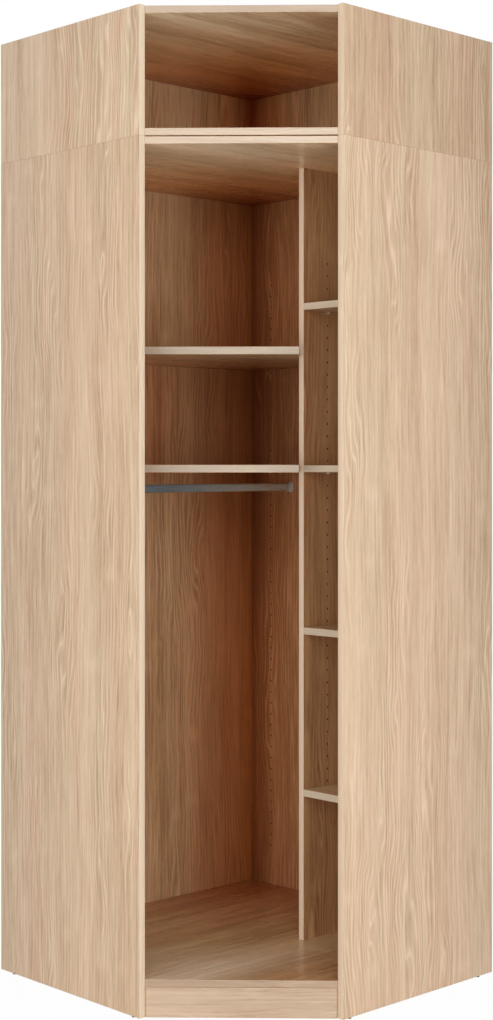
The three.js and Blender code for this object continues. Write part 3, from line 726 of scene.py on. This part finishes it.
def pierced_face(u_range, v_range, level, way, columns):
    """One flat face of a board, with columns of round holes: (u, levels along v, depth, bottomed).

    Each hole lies in a square cell, whose corners are joined by fans to a quarter of its circle
    each. Between the cells are rectangles, and between the columns long strips.
    """
    sides = HOLE_SIDES
    half = HOLE_CELL / 2
    v_low, v_high = v_range[0] + HOLE_CELL, v_range[1] - HOLE_CELL
    points, parts, borders = [], [], [np.array([[u_range[0], v_low, 0], [u_range[0], v_high, 0]])]
    count = 0

    def kept(new_points, *faces):
        nonlocal count
        points.append(new_points)
        parts.extend((part + count, kind) for part, kind in faces)
        count += len(new_points)

    angle = math.pi + np.arange(sides) * (math.tau / sides)
    circle = HOLE_RADIUS * np.column_stack((np.cos(angle), np.sin(angle)))
    ring = np.arange(sides)
    corner = ring // (sides // 4)
    fans = np.column_stack((sides * 2 + corner, (ring + 1) % sides, ring))
    square = np.arange(4)
    gussets = np.column_stack((sides * 2 + square, sides * 2 + (square + 1) % 4,
                               (square + 1) * (sides // 4) % sides))
    wall = np.column_stack((ring, (ring + 1) % sides, sides + (ring + 1) % sides, sides + ring))
    for u, levels, depth, bottomed in columns:
        steps = np.concatenate(([v_low], np.column_stack((levels - half, levels + half)).ravel(), [v_high]))
        left = np.column_stack((np.full(len(steps), u - half), steps, np.zeros(len(steps))))
        right = left + [2 * half, 0, 0]
        gap = np.arange(0, len(steps), 2)
        kept(np.concatenate((left, right)),
             (np.column_stack((gap, gap + len(steps), gap + len(steps) + 1, gap + 1)), FLAT))
        borders += [left, right]
        cell = half * np.array([[-1, -1], [1, -1], [1, 1], [-1, 1]])
        flat = np.concatenate((circle, circle, cell))
        sunk = np.concatenate((np.zeros(sides), np.full(sides, -depth), np.zeros(4)))
        one = np.column_stack((flat, sunk))
        holes = one[None] + np.column_stack((np.full(len(levels), u), levels, np.zeros(len(levels))))[:, None]
        starts = (np.arange(len(levels)) * len(one))[:, None, None]
        shapes = [(fans, FLAT), (gussets, FLAT)]
        if depth:
            shapes.append((wall, BORED))
        if bottomed:
            shapes.append((sides + ring[None], BORED))
        kept(holes.reshape(-1, 3),
             *[((shape[None] + starts).reshape(-1, shape.shape[1]), kind) for shape, kind in shapes])
    borders.append(np.array([[u_range[1], v_low, 0], [u_range[1], v_high, 0]]))
    for left, right in zip(borders[::2], borders[1::2]):
        strip = np.concatenate((right, left[::-1]))
        kept(strip, (np.arange(len(strip))[None], FLAT))
    lower = np.array([border[0] for border in borders])
    upper = np.array([border[-1] for border in borders])
    for edge, outer in ((lower[::-1], v_range[0]), (upper, v_range[1])):
        ends = edge[[-1, 0]] * [1, 0, 1] + [0, outer, 0]
        kept(np.concatenate((ends, edge)), (np.arange(len(edge) + 2)[None], FLAT))
    points = np.concatenate(points)
    points[:, 2] = level + way * points[:, 2]
    return points, [(faces[:, ::way], kind) for faces, kind in parts]


def pierced_board(u_range, v_range, w_range, high_columns, low_columns, through):
    """A standing board with columns of holes in its faces, within a rounded rim."""
    (u0, u1), (v0, v1) = u_range, v_range
    cut_low, cut_high = v0 + EDGE_RADIUS + HOLE_CELL, v1 - EDGE_RADIUS - HOLE_CELL
    outline = np.array([[u0, v0], [u1, v0], [u1, cut_low], [u1, cut_high], [u1, v1], [u0, v1],
                        [u0, cut_high], [u0, cut_low]])
    inner_u = (u0 + EDGE_RADIUS, u1 - EDGE_RADIUS)
    inner_v = (v0 + EDGE_RADIUS, v1 - EDGE_RADIUS)
    shell = joined(rim(outline, *w_range, EDGE_RADIUS),
                   pierced_face(inner_u, inner_v, w_range[1], 1, high_columns),
                   pierced_face(inner_u, inner_v, w_range[0], -1, low_columns))
    return laid(shell[0], through), shell[1]


def plain_board(u_range, v_range, w_range, through):
    """A standing board without holes, with rounded edges."""
    (u0, u1), (v0, v1) = u_range, v_range
    return plate(np.array([[u0, v0], [u1, v0], [u1, v1], [u0, v1]]), *w_range, EDGE_RADIUS, through)


def new_piece(name, shell, material, slot, *nodes):
    """A piece from a shell: its doubles merged, its smooth faces sharp past an angle, its nodes replaced."""
    points, parts = shell
    x, y, z = points.T
    placed = np.column_stack(((y - x) * DIAGONAL_SHARE, REAR_CORNER_Y - (x + y) * DIAGONAL_SHARE, z))
    sizes = np.concatenate([np.full(len(faces), faces.shape[1]) for faces, _ in parts])
    corners = np.concatenate([faces.ravel() for faces, _ in parts])
    mesh = bpy.data.meshes.new(name)
    mesh.vertices.add(len(placed))
    mesh.vertices.foreach_set("co", placed.ravel())
    mesh.loops.add(len(corners))
    mesh.loops.foreach_set("vertex_index", corners)
    mesh.polygons.add(len(sizes))
    mesh.polygons.foreach_set("loop_start", np.cumsum(sizes) - sizes)
    mesh.update(calc_edges=True)
    kinds = np.concatenate([np.full(len(faces), kind) for faces, kind in parts])
    mesh.polygons.foreach_set("use_smooth", kinds > FLAT)
    mesh.polygons.foreach_set("material_index", (kinds == BORED).astype(int))
    welded = bmesh.new()
    welded.from_mesh(mesh)
    bmesh.ops.remove_doubles(welded, verts=welded.verts, dist=WELD_DISTANCE)
    welded.to_mesh(mesh)
    welded.free()
    mesh.set_sharp_from_angle(angle=SHARP_ANGLE)
    for finish in (material, hole_core_and_shade) if BORED in kinds else (material,):
        mesh.materials.append(finish)
    piece = bpy.data.objects.new(name, mesh)
    bpy.context.scene.collection.objects.link(piece)
    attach(piece, BODY_OF[nodes[0]])
    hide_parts(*nodes)


# The standing boards with shelf-pin holes, and the top box's side panels

def hole_column(place, levels, depth=HOLE_DEPTH, bottomed=True):
    """One column of holes in a board's face: its place across, its levels, and how deep they go."""
    return place, levels, depth, bottomed


BAY_LEVELS = BAY_ROW_START + HOLE_SPACING * np.arange(BAY_ROW_COUNT)
CORNER_LEVELS = CORNER_ROW_START + HOLE_SPACING * np.arange(CORNER_ROW_COUNT)
DIVIDER_THICKNESS = DIVIDER_RIGHT - DIVIDER_LEFT
BAY_COLUMNS = [hole_column(BAY_REAR_ROW, BAY_LEVELS), hole_column(BAY_FRONT_ROW, BAY_LEVELS)]

STANDING_BOARDS = {
    "lower_left_side": pierced_board(
        SIDE_ENDS, STANDING, (INNER_FACE, WALL_LENGTH), [],
        [hole_column(CORNER_REAR_ROW, CORNER_LEVELS), hole_column(CORNER_FRONT_ROW, CORNER_LEVELS)], "x"),
    "lower_right_side": pierced_board(
        SIDE_ENDS, STANDING, (-WALL_LENGTH, -INNER_FACE), BAY_COLUMNS, [], "y"),
    "lower_right_back": pierced_board(
        (END_TRIM, INNER_FACE - SEAT), BACK_STANDING, (0, BACK_FACE),
        [hole_column(CORNER_REAR_ROW, CORNER_LEVELS)], [], "x"),
    "divider": pierced_board(
        (BACK_FACE + SEAT, DIVIDER_FRONT), DIVIDER_STANDING, (-DIVIDER_RIGHT, -DIVIDER_LEFT),
        [hole_column(BAY_FRONT_ROW, BAY_LEVELS, 0, False)],
        [hole_column(BAY_REAR_ROW, BAY_LEVELS),
         hole_column(BAY_FRONT_ROW, BAY_LEVELS, DIVIDER_THICKNESS, False)], "y"),
    "upper_left_side": plain_board(SIDE_ENDS, UPPER_STANDING, (INNER_FACE, WALL_LENGTH), "x"),
    "upper_right_side": plain_board(SIDE_ENDS, UPPER_STANDING, (-WALL_LENGTH, -INNER_FACE), "y"),
}

for node, shell in STANDING_BOARDS.items():
    new_piece(f"{node}_board", shell, finishes[node], "oak_board", node)


# Hardware

PIN_WAYS = {
    "rear_left": (0, 1, 0), "front_left": (0, 1, 0), "rear_right": (0, -1, 0), "front_right": (0, -1, 0),
}


def pin_piece(node, mouth, way):
    """A shelf pin with its stud in a hole: the hole's mouth, and the way out of the board."""
    new_piece(f"{node}_pin", turned(PIN_PROFILE, mouth, way), finishes[node], "zinc", node)


for shelf in range(BAY_SHELF_COUNT):
    level = BAY_LEVELS[shelf * PIN_STEPS]
    for place, way in PIN_WAYS.items():
        x = BAY_REAR_ROW if place.startswith("rear") else BAY_FRONT_ROW
        y = DIVIDER_RIGHT if place.endswith("left") else INNER_FACE
        pin_piece(f"bay_pin_{shelf + 1}_{place}", (x, y, level), way)

pin_piece("corner_pin_side_rear", (INNER_FACE, CORNER_REAR_ROW, CORNER_PIN_LEVEL), (-1, 0, 0))
pin_piece("corner_pin_side_front", (INNER_FACE, CORNER_FRONT_ROW, CORNER_PIN_LEVEL), (-1, 0, 0))
pin_piece("corner_pin_back", (BACK_FACE, CORNER_REAR_ROW, CORNER_PIN_LEVEL), (1, 0, 0))
pin_piece("corner_pin_divider", (BAY_FRONT_ROW, DIVIDER_LEFT, CORNER_PIN_LEVEL), (0, -1, 0))


def flat_oval(inset):
    """The rail's flat oval, moved inwards: two half circles on the ends of a standing line."""
    angle = (np.arange(OVAL_POINTS) + 0.5) * (math.tau / OVAL_POINTS)
    side = np.where(np.sin(angle) > 0, RAIL_RISE, -RAIL_RISE)
    radius = RAIL_RADIUS - inset
    return np.column_stack((RAIL_Y + radius * np.cos(angle), RAIL_MIDDLE + side + radius * np.sin(angle)))


def rail_tube():
    """The oval carried along the rail on a closed path: out along the outside, back along the bore."""
    (x0, x1), ease = RAIL_ENDS, RAIL_EASE
    path = ((0, x0 + ease), (0, x1 - ease), (ease, x1), (RAIL_WALL - ease, x1), (RAIL_WALL, x1 - ease),
            (RAIL_WALL, x0 + ease), (RAIL_WALL - ease, x0), (ease, x0))
    ovals = np.array([flat_oval(inset) for inset, _ in path])
    distances = np.array([x for _, x in path])
    places = np.broadcast_to(distances[:, None, None], (*ovals.shape[:2], 1))
    points = np.concatenate((places, ovals), axis=2).reshape(-1, 3)
    return points, [(ring_quads(len(path), ovals.shape[1], closed_rows=True)[:, ::-1], SMOOTH)]


def cup_outline():
    """The socket's cup as a U: an outer half circle and straight arms, and back round the bore."""
    outer, bore = CUP_RADIUS, CUP_RADIUS - CUP_WALL
    turn = np.linspace(math.pi, math.tau, CUP_ARC_POINTS)
    arc = np.column_stack((np.cos(turn), np.sin(turn)))
    top = RAIL_RISE + CUP_ARM
    arms = ([[-outer, top]], outer * arc - [0, RAIL_RISE], [[outer, top], [bore, top]],
            bore * arc[::-1] - [0, RAIL_RISE], [[-bore, top]])
    return np.concatenate(arms) + [RAIL_Y, RAIL_MIDDLE]


def socket_shell(face, way):
    """An oval plate on the board's face, and the open cup that holds the rail's end."""
    plate_range = sorted((face + way * SEAT, face + way * PLATE_THICKNESS))
    cup_range = sorted((face + way * (PLATE_THICKNESS - SEAT), face + way * CUP_REACH))
    return joined(plate(flat_oval(-PLATE_MARGIN), *plate_range, HARDWARE_ROUND, "x"),
                  plate(cup_outline(), *cup_range, HARDWARE_ROUND, "x"))


new_piece("hanging_rail_tube", rail_tube(), finishes["hanging_rail"], "steel_tube", "hanging_rail")
SOCKETS = {"left": (INNER_FACE, -1), "right": (BACK_FACE, 1)}
for side, (face, way) in SOCKETS.items():
    node = f"rail_socket_{side}"
    new_piece(f"{node}_casting", socket_shell(face, way), finishes[node], "zinc", node)
    for number, rise in enumerate((-SCREW_RISE, SCREW_RISE)):
        node = f"socket_screw_{side}_{number}"
        start = (face + way * PLATE_THICKNESS, RAIL_Y, RAIL_MIDDLE + rise)
        new_piece(f"{node}_screw", turned(SCREW_PROFILE, start, (-way, 0, 0)), finishes[node], "zinc", node)

SIDE_MIDDLE = (INNER_FACE + WALL_LENGTH) / 2
GLIDE_PLACES = {
    "left_side_0": (SIDE_MIDDLE, GLIDE_REAR), "left_side_1": (SIDE_MIDDLE, GLIDE_FRONT),
    "right_side_0": (GLIDE_REAR, SIDE_MIDDLE), "right_side_1": (GLIDE_FRONT, SIDE_MIDDLE),
    "right_back_0": (BACK_FACE / 2, BACK_FACE / 2),
}
for place, (x, y) in GLIDE_PLACES.items():
    node = f"glide_{place}"
    foot = turned(GLIDE_PROFILE, (x, y, 0), (0, 0, 1), GLIDE_SIDES)
    new_piece(f"{node}_foot", foot, finishes[node], "black_plastic", node)


# Studio

def background_rays(tree):
    """1 for rays that see the background itself: from the camera, and through gloss and glass."""
    rays = add_node(tree, "ShaderNodeLightPath")
    seen = maths(tree, "MAXIMUM", rays.outputs["Is Camera Ray"], rays.outputs["Is Glossy Ray"])
    return maths(tree, "MAXIMUM", seen, rays.outputs["Is Transmission Ray"])


def studio_floor():
    """A pale floor: it shows white to the camera and in reflections, and keeps the object's shadow."""
    material, tree, shader = new_material("studio floor")
    constant(shader, Base_Color=STUDIO_FLOOR_COLOUR, Roughness=STUDIO_FLOOR_ROUGHNESS)
    white = add_node(tree, "ShaderNodeEmission")
    mix = add_node(tree, "ShaderNodeMixShader")
    tree.links.new(maths(tree, "MULTIPLY", background_rays(tree), STUDIO_FLOOR_WHITE), mix.inputs["Fac"])
    tree.links.new(shader.outputs[0], mix.inputs[1])
    tree.links.new(white.outputs[0], mix.inputs[2])
    tree.links.new(mix.outputs[0], tree.nodes["Material Output"].inputs["Surface"])
    mesh = bpy.data.meshes.new("studio_floor")
    reach = STUDIO_FLOOR_REACH
    mesh.from_pydata([(-reach, -reach, 0), (reach, -reach, 0), (reach, reach, 0), (-reach, reach, 0)], [],
                     [(0, 1, 2, 3)])
    floor = bpy.data.objects.new("studio_floor", mesh)
    bpy.context.scene.collection.objects.link(floor)
    mesh.materials.append(material)


def softbox(name, place, target, size, power):
    """A rectangular area lamp at a place, facing a target."""
    data = bpy.data.lights.new(name, "AREA")
    data.shape = "RECTANGLE"
    data.size, data.size_y = size
    data.energy = power
    lamp = bpy.data.objects.new(name, data)
    bpy.context.scene.collection.objects.link(lamp)
    lamp.location = place
    way = np.array(target, float) - np.array(place, float)
    tip = math.acos(-way[2] / np.linalg.norm(way))
    lamp.rotation_euler = (tip, 0.0, math.atan2(way[1], way[0]) - math.pi / 2)


def studio_world():
    """White to the camera and in reflections, and a soft even light on everything else."""
    world = bpy.data.worlds.new("studio")
    bpy.context.scene.world = world
    world.use_nodes = True
    tree = world.node_tree
    strength = remapped(tree, background_rays(tree), 0.0, 1.0, AMBIENT, 1.0)
    background = tree.nodes["Background"]
    background.inputs["Color"].default_value = (1, 1, 1, 1)
    tree.links.new(strength, background.inputs["Strength"])


def camera():
    """The photograph's camera: its place, turn, focal length and shifted principal point."""
    data = bpy.data.cameras.new("camera")
    data.sensor_width = SENSOR_MM
    data.lens = FOCAL_PIXELS / IMAGE_HEIGHT * SENSOR_MM
    data.shift_x = (IMAGE_WIDTH / 2 - PRINCIPAL_POINT[0]) / IMAGE_HEIGHT
    data.shift_y = (PRINCIPAL_POINT[1] - IMAGE_HEIGHT / 2) / IMAGE_HEIGHT
    made = bpy.data.objects.new("camera", data)
    bpy.context.scene.collection.objects.link(made)
    made.location = CAMERA_PLACE
    made.rotation_euler = (math.pi / 2 + CAMERA_PITCH, 0.0, CAMERA_YAW)
    bpy.context.scene.camera = made


studio_floor()
studio_world()
for name, lamp in LAMPS.items():
    softbox(name, *lamp)
camera()
bpy.context.scene.view_settings.view_transform = "Standard"
